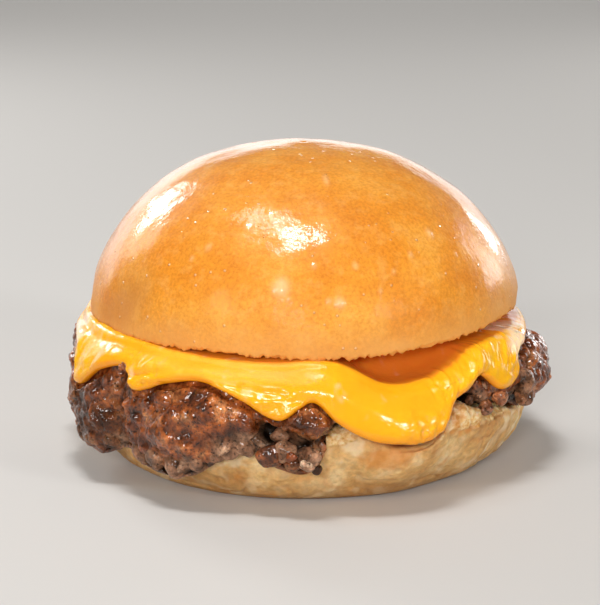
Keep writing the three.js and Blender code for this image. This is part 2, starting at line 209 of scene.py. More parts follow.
def heel_shape(columns, wall_rows):
    """The heel as a grid: foot, wall, rim, slope and bed, with the creases of its skin and the torn crumb of its
    rim raised on it. Also how much of each point is torn crumb, how deep in a crease it is, where painted shade
    goes, how greasy, with painted shade under the cheese lobe and the torn ledge, and how pale, with painted
    highlights on the upright creases at the right."""
    azimuth = np.linspace(-180, 180, columns, endpoint=False)[:, None]
    rim_radius, rim_height = around(heel_rim, azimuth)
    widest = rim_height - heel_shoulder
    foot_radius = heel_foot * np.array([[0, 0.4, 0.8, 0.97]])
    turn = np.radians(90) * np.linspace(0, 1, wall_rows)[None]
    wall_height = widest * (1 - np.cos(turn) ** (2 / heel_fullness))
    rim_turn = np.radians(90) * np.linspace(0, 1, 12)[None, 1:]
    rim_up = mix(widest, rim_height, np.sin(rim_turn))
    slope_radius = rim_radius - heel_round - heel_slope * np.linspace(0, 1, 30)[None, 1:]
    bed_radius = slope_radius[:, -1:] * np.array([[0.66, 0.33, 0]])
    radius = np.concatenate([
        foot_radius + 0 * rim_radius, heel_wall(azimuth, wall_height), heel_wall(azimuth, rim_up), slope_radius,
        bed_radius], 1)
    height = np.concatenate([
        0 * foot_radius + 0 * rim_radius, wall_height, rim_up, heel_top(azimuth, slope_radius),
        heel_bed + 0 * bed_radius], 1)
    place = turned(azimuth, radius, height)
    # the torn crumb: on the rim where it shows at the front right, and all over the cut face
    shows = [eased(azimuth, a, a + 4) * eased(-azimuth, -b - 4, -b) for a, b in ((3, 12), (31, 58))]
    ragged = 2.2 * noise(place * [1, 1, 0.4], 6, 21, 3)
    on_rim = eased(height - rim_height + 1.6 + ragged, -0.4, 0.5)
    upper = np.arange(radius.shape[1]) > 14 + wall_rows
    cut_face = upper * eased(rim_radius - heel_round - radius, 0, 1.5)
    ledge = lumps(azimuth, radius, height, heel_ledge)
    on_ledge = eased(ledge + 0.35 * noise(place, 3, 26, 3), 0.35, 0.6)
    torn = np.maximum(np.maximum(on_rim * np.maximum(*shows), on_ledge), cut_face)
    # the skin: broad soft dents, a few long creases, finer ones at the right where it is drawn together
    bent = place + 3 * np.stack([noise(place, 12, seed, 2) for seed in (31, 32, 33)], -1)
    some = eased(noise(place, 20, 39), -0.25, 0.35)
    crease = some * np.exp(-((noise(bent * [1, 1, 2.2], 15, 34) / 0.07) ** 2))
    fine_crease = np.exp(-((noise(bent * [1, 1, 1.8], 6, 35) / 0.09) ** 2)) * eased(noise(place, 9, 36), -0.1, 0.4)
    upright = np.exp(-((noise(bent * [2.0, 2.0, 0.4], 8, 30) / 0.12) ** 2))
    right = eased(azimuth, 44, 58) * eased(-azimuth, -150, -120)
    folds = 0.4 * crease + 0.2 * fine_crease + 0.4 * right * upright
    smooth = 0.9 * noise(place * [1, 1, 1.3], 17, 37) + 0.35 * noise(bent, 6.5, 27) + 0.16 * noise(place, 2.4, 38, 2)
    fine_lines = 0.5 - np.abs(noise(bent * [1, 1, 1.8], 4.5, 28, 2))
    smooth = smooth - 0.35 * fine_lines * eased(noise(place, 11, 25), -0.2, 0.3)
    crumb_near, _ = grains(place + noise(place, 2, 29)[..., None], 1.9, 40)
    crumb = 0.5 * (0.5 - crumb_near) + 0.4 * noise(place, 3.4, 41) + 0.6 * noise(place, 1.7, 42, 3)
    crumb = crumb + 0.9 * np.minimum(ledge, 1)
    off_foot = eased(height, 0.2, 2.5)
    relief = off_foot * mix(smooth - folds, crumb, torn)
    # fat stains, which are partly painted shade under the cheese lobe and the torn ledge
    grease = eased(lumps(azimuth, radius, height, heel_stains) + 0.5 * noise(place, 4, 42, 3), 0.15, 0.8)
    streak = np.exp(-((noise(bent * [1, 1, 1.7], 8, 43) / 0.05) ** 2)) * eased(noise(place, 10, 44), -0.05, 0.35)
    # paler patches of skin; on the upright creases at the right they are painted highlights
    drawn = right * (0.4 + 0.6 * eased(-azimuth, -85, -70))
    flaky = eased(noise(bent * [2.2, 2.2, 0.5], 7, 45, 2), 0.0, 0.5)
    pale = drawn * flaky + 0.4 * eased(noise(bent, 5, 46, 2), 0.15, 0.5)
    rubbed = lumps(azimuth, radius, height, heel_rubbed)
    pale = np.maximum(pale, eased(rubbed + 0.4 * noise(place, 2.5, 47, 2), 0.3, 0.8)) * (1 - torn)
    grease = np.maximum(grease, 0.55 * streak)
    return place + relief[..., None] * outward(place), torn, folds, grease, pale


heel_points, heel_torn, heel_folds, heel_grease, heel_pale = heel_shape(columns=900, wall_rows=60)
heel = skin(
    "bun_heel_bread", heel_points, torn=[heel_torn], fold=[heel_folds], grease=[heel_grease], pale=[heel_pale])


def linear(sheet):
    """An sRGB hex value as linear colour."""
    channels = np.array([int(sheet[i : i + 2], 16) for i in (1, 3, 5)]) / 255
    return (*np.where(channels <= 0.04045, channels / 12.92, ((channels + 0.055) / 1.055) ** 2.4), 1.0)


def node(tree, kind, inputs=None, stops=(), **settings):
    """Adds a node with its own settings. Inputs gives for a socket, by name or number, the other node's output
    that feeds it, or its value. Stops are (where, hex colour or grey) along a ramp."""
    made = tree.nodes.new(kind)
    for name, value in settings.items():
        setattr(made, name, value)
    for socket, source in (inputs or {}).items():
        if isinstance(source, bpy.types.NodeSocket):
            tree.links.new(source, made.inputs[socket])
        else:
            made.inputs[socket].default_value = source
    if stops:
        line = made.color_ramp.elements
        while len(line) < len(stops):
            line.new(0.5)
        for element, (where, shade) in zip(line, stops):
            element.position = where
            element.color = linear(shade) if isinstance(shade, str) else (shade, shade, shade, 1)
    return made


def finish_of(name, constants):
    """A node material of that name, whose shader has these constants, with its tree, its shader and the place on
    the piece in metres."""
    material = bpy.data.materials.new(name)
    material.use_nodes = True
    tree = material.node_tree
    shader = tree.nodes["Principled BSDF"]
    for socket, value in constants.items():
        shader.inputs[socket].default_value = value
    return material, tree, shader, node(tree, "ShaderNodeTexCoord").outputs["Object"]


# soft white bread skin, baked pale: matt and cream, with paler patches; painted shade darkens its creases, it is
# darker towards the bottom, and painted highlights lighten the upright creases at the right; the torn crumb is
# paler and yellower, and fat from the meat has stained the skin orange, also standing in as painted shade under
# the cheese lobe and along the torn ledge
bread, tree, shader, place = finish_of("soft_bread_skin", {
    "Roughness": 0.62, "IOR": 1.4, "Subsurface Weight": 0.35, "Subsurface Radius": (3.0, 1.6, 0.8),
    "Subsurface Scale": mm})
patches, speckle = (
    node(tree, "ShaderNodeTexNoise", {
        "Vector": place, "Scale": 1 / (size * mm), "Detail": detail, "Roughness": 0.6}).outputs["Fac"]
    for size, detail in ((13, 5), (1.4, 3)))
patch_tone, flour_tone, crumb_tone = (
    node(tree, "ShaderNodeValToRGB", {"Fac": factor}, stops=stops).outputs["Color"] for factor, stops in (
        (patches, ((0.34, "#bf8c50"), (0.5, "#d8ab6c"), (0.66, "#eacb95"))),
        (speckle, ((0.34, 0.84), (0.5, 1.0), (0.66, 1.12))),
        (speckle, ((0.35, "#cf9850"), (0.5, "#ecc487"), (0.66, "#f8e2b8")))))
fold, pale, torn, grease = (
    node(tree, "ShaderNodeAttribute", attribute_name=mark).outputs["Fac"]
    for mark in ("fold", "pale", "torn", "grease"))
# painted shade: the skin is darker in its creases
in_fold = node(tree, "ShaderNodeMapRange", {"Value": fold, "From Min": 0.1, "From Max": 0.6}).outputs["Result"]
height = node(tree, "ShaderNodeSeparateXYZ", {"Vector": place}).outputs["Z"]
# darker towards the bottom
by_tray = node(tree, "ShaderNodeMapRange", {"Value": height, "From Min": 7.5 * mm, "From Max": 0}).outputs["Result"]
tone = node(
    tree, "ShaderNodeMix", {0: 1.0, 6: patch_tone, 7: flour_tone}, data_type="RGBA", blend_type="MULTIPLY").outputs[2]
# in order: painted shade in the creases, darker towards the bottom, paler patches with painted highlights at the
# right, torn crumb, fat stains that are also painted shade under the cheese lobe and the torn ledge
for mark, most, shade in (
    (in_fold, 0.35, linear("#a8692f")), (by_tray, 0.8, linear("#a26e36")), (pale, 0.55, linear("#f0dcb6")),
    (torn, 1.0, crumb_tone), (grease, 0.6, linear("#cf7f28")),
):
    amount = node(tree, "ShaderNodeMath", {0: mark, 1: most}, operation="MULTIPLY").outputs[0]
    tone = node(tree, "ShaderNodeMix", {0: amount, 6: tone, 7: shade}, data_type="RGBA").outputs[2]
tree.links.new(tone, shader.inputs["Base Color"])
bump = node(tree, "ShaderNodeBump", {"Height": speckle, "Strength": 0.7, "Distance": 0.4 * mm})
tree.links.new(bump.outputs["Normal"], shader.inputs["Normal"])
heel.data.materials.append(bread)
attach(heel, "root")
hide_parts("bun_heel")


# The patty: fresh ground beef, pressed thin on a hot griddle so that its edge tore into lobes, then seared. It
# lies in the heel and hangs over its rim. Its crust is dark and wet with fat, its torn edge grey-brown crumbles.
patty_ceiling, patty_flat, patty_lip = 32.5, 34, 3.2
gap, wall_gap = 0.45, 1.2
patty_edge = [
    # azimuth, outermost radius, its height, lowest height
    (-172, 56.5, 23.0, 16.4), (-150, 58.0, 21.0, 12.0), (-128, 56.0, 23.0, 15.6), (-108, 58.6, 22.0, 12.5),
    (-90, 58.4, 19.0, 9.4), (-72, 59.2, 14.0, 7.0), (-59, 59.2, 13.0, 6.4), (-50, 57.4, 15.0, 9.6),
    (-39, 59.0, 17.0, 6.6), (-27, 60.4, 18.0, 7.8), (-20, 59.0, 21.0, 12.0), (-14, 57.6, 23.0, 15.6),
    (-6, 58.8, 19.0, 10.8), (3, 59.2, 19.0, 11.2), (7.5, 57.4, 21.8, 20.6), (12, 53.0, 23.0, 20.0),
    (20, 49.4, 22.0, 17.4), (32, 49.4, 22.0, 17.4), (42, 52.0, 23.4, 21.0), (54, 55.0, 22.4, 19.0),
    (62, 57.2, 22.4, 17.6), (70, 59.6, 23.4, 15.4), (80, 61.0, 25.0, 15.0), (88, 61.0, 25.0, 14.6),
    (102, 59.6, 22.0, 14.0), (122, 56.8, 22.5, 16.6), (150, 58.8, 21.0, 12.6),
]
patty_lumps = [
    # azimuth, height, size, how far it stands out, or in where that is negative
    (-89, 27, 5, 1.6), (-86, 18.5, 5, -3.6), (-62, 19, 8, 1.0), (-27, 21, 11, 1.2), (-50.5, 12, 4, -1.6),
    (-51.5, 19, 3.5, -1.6), (-10.5, 20, 3.6, -3.6), (-0.5, 23.6, 5.5, 1.6), (-3, 19.6, 3, -2.6),
    (-6.5, 14.4, 4, 1.6), (1.2, 14.4, 4, 1.6), (8, 22, 4, -1.6), (50.5, 23.6, 2.8, 1.6),
    (49, 20.6, 2.8, 1.2), (78, 18, 5, 1.0),
]
# where the slice lies on the patty; it also shapes the cheese further on
cheese_thickness, cheese_plane, cheese_flat, cheese_lap = 2.4, 34.15, 36, 1.8
cheese_edge = [
    # azimuth, radius and height where the slice turns down, radius, height and thickness of its edge
    (-172, 51.6, 33.4, 57.0, 29.0, 2.4), (-156, 52.0, 33.2, 58.2, 22.6, 2.8), (-136, 51.6, 33.6, 56.0, 30.4, 2.4),
    (-110, 51.0, 33.4, 55.0, 31.0, 2.4), (-84, 51.4, 33.5, 55.8, 31.4, 2.4), (-71.5, 52.0, 33.4, 57.4, 30.4, 2.5),
    (-67, 52.4, 33.4, 58.6, 22.6, 2.9), (-56, 52.4, 33.4, 58.2, 28.5, 2.6), (-46, 52.4, 33.6, 57.4, 31.0, 2.3),
    (-42.5, 52.6, 33.4, 58.6, 26.5, 2.6), (-33, 52.6, 33.6, 58.2, 29.6, 2.4), (-24, 52.6, 33.6, 57.9, 31.2, 2.3),
    (-14, 52.4, 33.2, 58.1, 27.4, 2.4), (-5.5, 52.6, 33.3, 58.6, 23.4, 2.6), (2, 53.2, 33.6, 58.2, 27.5, 2.3),
    (7, 54.0, 32.9, 59.4, 23.2, 2.9), (11.5, 54.4, 30.9, 60.0, 20.2, 3.4), (16, 54.8, 28.6, 60.4, 18.2, 3.9),
    (21, 55.0, 26.9, 60.6, 17.2, 4.3), (26, 55.0, 26.3, 60.6, 16.8, 4.4), (31, 54.8, 26.7, 60.2, 18.6, 4.0),
    (35.5, 54.4, 27.8, 58.8, 24.2, 3.2), (40.5, 53.9, 29.8, 58.4, 26.6, 2.8), (46, 53.2, 32.6, 57.4, 29.0, 2.5),
    (53, 53.0, 33.2, 58.0, 24.2, 2.8), (60, 53.2, 33.6, 57.9, 25.2, 2.7), (64, 53.0, 33.8, 57.0, 31.2, 2.4),
    (84, 51.2, 33.5, 54.6, 31.6, 2.3), (98, 51.0, 33.4, 54.4, 31.2, 2.4), (112, 51.6, 33.4, 57.2, 26.0, 2.6),
    (134, 51.6, 33.4, 56.6, 29.8, 2.4), (158, 51.8, 33.4, 58.0, 24.4, 2.7),
]


def through(corners, steps):
    """A smooth curve through the corners of each column, with its own number of steps in each span: a cubic
    whose slopes come from the corners on both sides, weighed by the square roots of their distances."""
    before, after = 2 * corners[:, :1] - corners[:, 1:2], 2 * corners[:, -1:] - corners[:, -2:-1]
    corners = np.concatenate([before, corners, after], 1)
    run = np.sqrt(np.linalg.norm(np.diff(corners, axis=1), axis=-1, keepdims=True))
    points = [corners[:, 1:2]]
    for i, count in enumerate(steps):
        a, b, c, d = (corners[:, i + k] for k in range(4))
        ab, bc, cd = (run[:, i + k] for k in range(3))
        slope_b = ((b - a) / ab - (c - a) / (ab + bc) + (c - b) / bc) * bc
        slope_c = ((c - b) / bc - (d - b) / (bc + cd) + (d - c) / cd) * bc
        t = (np.arange(1, count + 1) / count)[None, :, None]
        b, c, slope_b, slope_c = (x[:, None] for x in (b, c, slope_b, slope_c))
        bow = 3 * (c - b) - 2 * slope_b - slope_c
        points.append(b + t * slope_b + t**2 * bow + t**3 * (c - b - slope_b - bow))
    return np.concatenate(points, 1)


def facing(profile):
    """Which way each profile faces at its points: square to the line that joins the neighbours."""
    padded = np.concatenate([profile[:, :1], profile, profile[:, -1:]], 1)
    step = padded[:, 2:] - padded[:, :-2]
    normal = np.stack([step[..., 1], -step[..., 0]], -1)
    return normal / np.maximum(np.linalg.norm(normal, axis=-1, keepdims=True), 1e-9)


def cheese_line(azimuth, steps):
    """The middle line of the slice at each azimuth, outwards from its flat part, and its thickness there."""
    bend_radius, bend_height, edge_radius, edge_height, edge = around(cheese_edge, azimuth)
    flat = np.full_like(bend_radius, cheese_flat)
    sag = 0.5 + 0.35 * eased(-bend_height, -32, -27)
    line = through(np.stack([
        np.stack([flat, 0 * flat + cheese_plane], -1),
        np.stack([mix(flat, bend_radius, 0.5), mix(cheese_plane, bend_height, sag)], -1),
        np.stack([bend_radius, bend_height], -1),
        np.stack([mix(bend_radius, edge_radius, 0.62), mix(bend_height, edge_height, 0.38)], -1),
        np.stack([edge_radius, edge_height], -1)], 1), steps)
    along = np.concatenate([np.zeros(1), np.cumsum(np.concatenate([np.full(n, 1 / n) for n in steps]))])
    weight = eased(np.interp(along, range(5), (0, 1, 3, 5, 8)), 0, 8)[None]
    return line, mix(cheese_thickness, edge[:, None], weight)


def line_height(line, radius):
    """Height of each column's line where it first passes the column's radius."""
    past = np.argmax(line[..., 0] > radius[:, None], axis=1).clip(1)
    column = np.arange(len(line))
    low, high = line[column, past - 1], line[column, past]
    return mix(low[:, 1], high[:, 1], between(radius, low[:, 0], high[:, 0]))


def under_cheese(points, line, thickness):
    """Points moved back under the slice where they come nearer to it than the gap. Past its edge they stay."""
    nearest = np.full(points.shape[:2], np.inf)
    foot, keep = np.zeros_like(points), np.zeros(points.shape[:2])
    inwards, past_edge = np.zeros_like(points), np.zeros(points.shape[:2], bool)
    normals = facing(line)
    last = line.shape[1] - 2
    for i in range(last + 1):
        way = line[:, i + 1] - line[:, i]
        t = np.sum((points - line[:, None, i]) * way[:, None], -1) / np.sum(way * way, -1)[:, None]
        t = np.clip(t, 0, 1)
        at = line[:, None, i] + t[..., None] * way[:, None]
        distance = np.linalg.norm(points - at, axis=-1)
        closer = distance < nearest
        later = t > 0.5
        nearest = np.where(closer, distance, nearest)
        foot = np.where(closer[..., None], at, foot)
        thick = np.where(later, thickness[:, None, i + 1], thickness[:, None, i])
        keep = np.where(closer, 0.5 * thick + gap, keep)
        normal = np.where(later[..., None], normals[:, None, i + 1], normals[:, None, i])
        inwards = np.where(closer[..., None], normal, inwards)
        past_edge = np.where(closer, (i == last) & (t == 1), past_edge)
    away = points - foot
    above = ~past_edge & (np.sum(away * inwards, -1) < 0)
    away = np.where(above[..., None], inwards, away / np.maximum(nearest, 1e-6)[..., None])
    moves = above | (nearest < keep)
    return np.where(moves[..., None], foot + keep[..., None] * away, points)


def off_bread(points, azimuth):
    """Points moved off the bread: up off its upper face or out off its wall, whichever is less."""
    radius, height = points[..., 0], points[..., 1]
    up = heel_top(azimuth, radius) + gap - height
    out = heel_wall(azimuth, height) + wall_gap - radius
    inside = (up > 0) & (out > 0)
    return np.stack([radius + out * (inside & (up >= out)), height + up * (inside & (up < out))], -1)


def patty_shape(columns, steps):
    """The patty as a grid. Its profile runs along the bread, over the rim, down to the lip, round the side and
    back under the slice. Crags stand out of the bare side, square to the profile: coarse grains and the table's
    lumps. Also how bare each point is, and how near the lip."""
    azimuth = np.linspace(-180, 180, columns, endpoint=False)
    reach, middle, low = around(patty_edge, azimuth)
    rim_radius, _ = around(heel_rim, azimuth)
    line, thickness = cheese_line(azimuth, (1, 2, 2, 3))
    edge_radius, edge_height = line[:, -1].T
    inner_rim = rim_radius - heel_round
    bed_edge = inner_rim - heel_slope
    over_rim = np.minimum(inner_rim + 1.1, reach - 2.3 - patty_lip)
    lip = reach - patty_lip
    hangs = lip > rim_radius + 0.5 * wall_gap
    lowest = np.where(hangs, low, np.maximum(low, heel_top(azimuth, np.minimum(lip, inner_rim)) + gap))
    shoulder = np.minimum(edge_radius, reach - 0.6) - cheese_lap

    def on_bread(radius):
        return np.stack([radius, heel_top(azimuth, radius) + gap], -1)

    def below_slice(radius):
        return np.stack([radius, line_height(line, radius) - 0.5 * cheese_thickness - gap], -1)

    outline = through(np.stack([
        on_bread(bed_edge), on_bread(mix(bed_edge, over_rim, 0.5)), on_bread(over_rim),
        on_bread(np.minimum(mix(over_rim, lip, 0.5), rim_radius - 0.5)), np.stack([lip, lowest], -1),
        np.stack([reach, middle], -1), below_slice(shoulder), below_slice(shoulder - 6),
        np.stack([0 * reach + patty_flat, 0 * reach + patty_ceiling], -1)], 1), steps)
    turn = azimuth[:, None]
    normal = facing(outline)
    below_edge = eased(edge_height[:, None] - outline[..., 1], -1.5, 2.5)
    on_side = eased(normal[..., 0], 0.1, 0.7) * below_edge
    above_lip = eased(outline[..., 1] - lowest[:, None], 0, 4)
    place = turned(turn, outline[..., 0], outline[..., 1])
    coarse = 2.4 * (0.25 - np.clip(grains(place, 11, 1)[0], 0, 1) ** 2)
    coarse = coarse + 1.4 * (0.25 - np.clip(grains(place, 6, 2)[0], 0, 1) ** 2)
    out = on_side * (coarse + lumps(turn, outline[..., 0], outline[..., 1], patty_lumps))
    out = np.maximum(out, out * above_lip)
    settled = off_bread(under_cheese(outline + out[..., None] * normal, line, thickness), turn)
    centre = np.zeros((columns, 1))
    radius = np.concatenate([centre, settled[..., 0], centre], 1)
    height = np.concatenate([centre + heel_bed + gap, settled[..., 1], centre + patty_ceiling], 1)
    place = turned(turn, radius, height)
    bare = np.concatenate([centre, eased(normal[..., 0], -0.5, 0.2) * below_edge, centre], 1)
    return azimuth, place, bare, np.concatenate([centre, 1 - above_lip, centre], 1)


def puffs(place, size, seed, octaves):
    """Puffed mounds with creases between them: soft noise without its sign, and again and again at half the
    size and half the height."""
    return sum(np.abs(noise(place, size / 2**k, seed + 9 * k)) / 2**k for k in range(octaves))


# places on the patty's side: azimuth, height, size, strength; the face was pressed smooth at the calm ones
patty_calm = [(-30, 21, 10, 0.7), (-25, 25.5, 6, 0.5), (-62, 20, 7, 0.6), (82, 27, 7, 0.7)]
patty_open = [(-9, 15, 5, 0.7), (0, 16, 5, 0.7), (50, 20, 7, 0.9), (84, 24, 9, 0.15), (-88, 26, 6, 0.3)]
patty_blocks = [(1, 23, 5, 1.2), (-46, 24, 5, 0.6)]
# bulges of the front left lobe and of the block right of the black hole
patty_bulges = [
    (-29, 24.4, 3.5, 0.8), (-24, 23.6, 3.5, 0.9), (-20, 24.6, 3, 0.6), (-16, 21.6, 2.5, 0.8), (-34, 17, 3.5, 0.8),
    (-2, 23.6, 3, 1.2), (2.5, 23, 3, 1.4), (5.6, 22.4, 2.5, 1.0), (-12.6, 22, 2.4, 2.2), (64, 31, 4, 0.8),
    (-14, 18.5, 3.2, 2.6), (-17.5, 16.5, 3, 1.8), (-12.4, 16, 2.2, 1.8), (-30, 9.5, 3, 0.8), (-22, 12, 3, 0.8),
]
# the black hole, the gap under that block, and smaller ones
patty_holes = [
    (-8.4, 19.6, 1.9, -3.2), (-4, 18, 1.5, -2.8), (-1, 17.9, 1.5, -3), (2, 17.7, 1.5, -3), (5, 18.2, 1.7, -3),
    (-7.5, 14.5, 3, -1.4), (-3, 14, 3, -1.4), (2, 13.5, 3, -1.4), (8, 22.4, 2.2, -1.2), (46, 21, 2.4, -1.2),
    (-47.5, 12.5, 2, -1.2), (-50, 22, 1.6, -0.8), (-15.6, 20.4, 1.2, -0.9), (-15, 16.6, 0.9, -0.8),
]
# darker patches of crust, and painted shade in the black hole and the other holes
patty_charred = [
    (-66, 20, 9, 0.55), (-60, 12, 7, 0.55), (-52, 16, 4, 0.5), (-90, 22, 6, 0.35), (8, 20, 3, 0.4),
    (-1, 23, 5, 0.22), (-8.4, 19.6, 2.0, 1.2), (46, 21, 4, 0.4),
]
patty_torn_places = [
    (-36, 8, 4.5, 0.9), (-26, 9.5, 4.5, 0.9), (-17, 15.5, 5, 1.0), (-11, 17, 4, 0.9), (-3, 15, 7, 0.8),
    (66, 19, 5, 1.0), (84, 17, 6, 0.8), (48, 22, 5, 0.8), (-52, 11, 3, 0.6), (-66, 8, 6, 0.6), (110, 17, 8, 0.8),
    (-120, 18, 9, 0.8), (165, 16, 9, 0.8), (-84, 24, 3, 0.6),
]


def patty_relief(azimuth, place, by_lip):
    """Fine relief of the seared side in mm: soft mounds of 9 mm, puffed ones of 6.5 mm, others of 3.6 mm that
    are lower where the face is calm, granules, sparse pits, rounded crumbs in the open places, and the tables'
    bulges and holes. Also how high each point stands, from which the crevices get painted shade and the tops
    painted light, how dark it is, with painted shade that grows with the depth of a hole, and how much it is torn
    meat."""
    radius, height = np.hypot(place[..., 0], place[..., 1]), place[..., 2]
    azimuth = azimuth[:, None]

    def at(table):
        return lumps(azimuth, radius, height, table)

    bent = place + 1.5 * np.stack([noise(place, 6, seed, 2) for seed in (51, 52, 53)], -1)
    calm, loose, block = (np.clip(at(table), 0, 1) for table in (patty_calm, patty_open, patty_blocks))
    mounds = 0.8 * noise(bent, 9, 50) + 1.0 * (puffs(bent, 6.5, 90, 1) - 0.35)
    mounds = mounds + 1.2 * (puffs(bent, 3.6, 60, 2) - 0.5) * (1 - 0.7 * calm) + 0.12 * noise(place, 1.1, 56)
    near, _ = grains(bent, 3.6, 54)
    small_near, _ = grains(place + 0.6 * noise(place, 1.5, 58)[..., None], 1.9, 55)
    grainy = np.maximum(block, eased(noise(place, 6, 59, 2), -0.1, 0.4))
    granules = (0.35 + 0.6 * block - 0.2 * calm) * (0.45 - small_near) * grainy
    crumbs = 1.6 * (0.35 - near) + 0.6 * (puffs(bent, 1.8, 64, 2) - 0.4)
    pit_near, pit_own = grains(bent, 2.8, 57)
    pit = eased(-pit_near, -0.3, -0.1) * (pit_own > 0.78)
    bulges, holes = at(patty_bulges), at(patty_holes)
    rough = block * (0.7 * noise(place, 2.4, 68) + 0.45 * noise(place, 1.2, 69, 2))
    relief = bulges + mix(mounds, crumbs, 0.6 * loose) + rough + granules - 0.5 * pit - 1.1 * by_lip
    torn = eased(at(patty_torn_places) + 0.35 * noise(place, 5, 67, 3), 0.25, 0.75)
    # painted shade: darker the deeper a hole is
    charred = np.clip(at(patty_charred) - 0.3 * holes, 0, 1)
    return relief + holes, relief - 0.9 * bulges - 0.4 * pit, charred, torn


patty_azimuth, patty_place, patty_bare, patty_by_lip = patty_shape(columns=960, steps=(3, 3, 3, 10, 30, 38, 8, 2))
patty_out, patty_tops, patty_hollow, patty_torn = patty_relief(patty_azimuth, patty_place, patty_by_lip)
patty_points = patty_place + (patty_out * patty_bare)[..., None] * outward(patty_place)
patty = skin(
    "seared_patty", patty_points, tops=[patty_tops * patty_bare], hollow=[patty_hollow * patty_bare],
    torn=[patty_torn])


def crumble(azimuth, radius, height, size, seed):
    """A loose bit as a grid, and how far each point stands out: a ball at a place, bent out of shape by noise of
    its own size, with low puffed mounds of 2 mm on it."""
    turn = np.radians(np.linspace(0, 360, 56, endpoint=False))[:, None]
    rise = np.radians(np.linspace(-90, 90, 36))[None]
    way = np.stack([np.cos(rise) * np.cos(turn), np.cos(rise) * np.sin(turn), np.sin(rise) + 0 * turn], -1)
    place = turned(azimuth, radius, height) + size * way
    out = 0.45 * size * noise(place, 1.4 * size, seed) + 0.08 * size * (puffs(place, 2.0, seed, 3) - 0.5)
    return place + out[..., None] * way, out


# bits of the torn edge: clumps below the cheese's first point with an orange bead and a spot of fat, a shiny bead
# and others in the torn part at the right, the round end of the right lobe with a dark drop, and bits that
# stick out beside the cheese at the left; lumps along the low edge of the front lobes
loose_bits = [
    # azimuth, radius, height, size, how torn, how dark, how pale
    (-7.6, 57.2, 14.6, 2.9, 0.1, 0.1, -0.3), (-4.2, 57.4, 15.8, 2.4, 0.8, 0.1, -0.2),
    (-2.5, 60.0, 15.2, 1.2, 0, 0, 1.2), (-2.4, 57.8, 13.2, 2.0, 0.1, 0.3, -0.6),
    (1.2, 57.6, 14.4, 2.9, 0.8, 0.0, 0.0), (2.8, 58.6, 12.2, 1.3, 0.2, 0.8, -0.8),
    (0.0, 60.3, 13.9, 0.8, 1.0, 0, 1.0), (1.1, 60.3, 13.5, 0.7, 1.0, 0, 0.9),
    (-5.4, 56.6, 19.4, 2.0, 0.8, 0.1, -0.3), (54.2, 57.0, 21.8, 1.7, 0.2, 0, 0.5),
    (52.1, 54.4, 19.3, 1.9, 0.3, 0, 0.2), (49.6, 53.6, 22.6, 1.3, 0.8, 0.1, 0.0),
    (47.0, 53.2, 22.0, 1.0, 0.6, 0.4, -0.4), (51.0, 54.0, 25.0, 1.3, 0.8, 0.1, 0.0),
    (57.0, 55.4, 20.4, 1.6, 0.8, 0.3, -0.4), (66.0, 57.4, 22.4, 3.6, 0.9, 0.0, -0.2),
    (65.4, 58.2, 19.4, 2.2, 0.6, 0.25, -0.2), (-46.4, 57.2, 30.9, 1.1, 0, 0, 0.3),
    (-47.9, 57.2, 30.5, 0.9, 0, 0, 0.2), (-42.0, 55.8, 11.4, 2.6, 0.7, 0.2, -0.4),
    (-37.0, 56.2, 10.6, 3.0, 0.8, 0.1, -0.3), (-30.5, 56.6, 10.6, 3.2, 0.7, 0.1, -0.3),
    (-24.5, 56.8, 12.4, 2.8, 0.7, 0.1, -0.3), (-20.6, 57.2, 13.8, 2.0, 0.7, 0.1, -0.3),
    (-17.4, 56.8, 15.2, 2.2, 0.9, 0.1, -0.3), (-13.6, 56.4, 16.4, 2.2, 0.9, 0.1, -0.3),
    (-56.0, 55.4, 11.0, 2.8, 0.5, 0.4, -0.5), (-62.0, 56.0, 10.4, 3.0, 0.5, 0.4, -0.6),
    (-68.5, 56.2, 10.8, 2.8, 0.5, 0.5, -0.6),
]
crumbles = [crumble(*bit[:4], 80 + k) for k, bit in enumerate(loose_bits)]
meat_bits = skin(
    "seared_crumbles", *[points for points, _ in crumbles],
    tops=[out + bit[6] for (_, out), bit in zip(crumbles, loose_bits)],
    hollow=[0 * out + bit[5] for (_, out), bit in zip(crumbles, loose_bits)],
    torn=[0 * out + bit[4] for (_, out), bit in zip(crumbles, loose_bits)])


# seared ground beef: red-brown crust from the griddle with burnt specks and darker patches, greyer where the meat
# tore; painted shade darkens the crevices and the holes, and the tops are painted lighter; all under a wet film
# of fat that gives small, sharp highlights, and is thinner on the dark patches and in the holes
seared, tree, shader, place = finish_of("seared_ground_beef", {
    "Roughness": 0.42, "Specular IOR Level": 0.2, "Specular Tint": linear("#ffd9b8"), "Coat IOR": 1.46,
    "Coat Roughness": 0.1, "Subsurface Weight": 0.15, "Subsurface Radius": (1.6, 0.6, 0.3), "Subsurface Scale": mm})
broad, grain, fine, droplets = (
    node(tree, "ShaderNodeTexNoise", {
        "Vector": place, "Scale": 1 / (size * mm), "Detail": detail, "Roughness": rough}).outputs["Fac"]
    for size, detail, rough in ((6, 5, 0.6), (2.2, 4, 0.6), (0.8, 3, 0.6), (1.5, 1, 0.5)))
tops, torn, hollow = (
    node(tree, "ShaderNodeAttribute", attribute_name=mark).outputs["Fac"] for mark in ("tops", "torn", "hollow"))
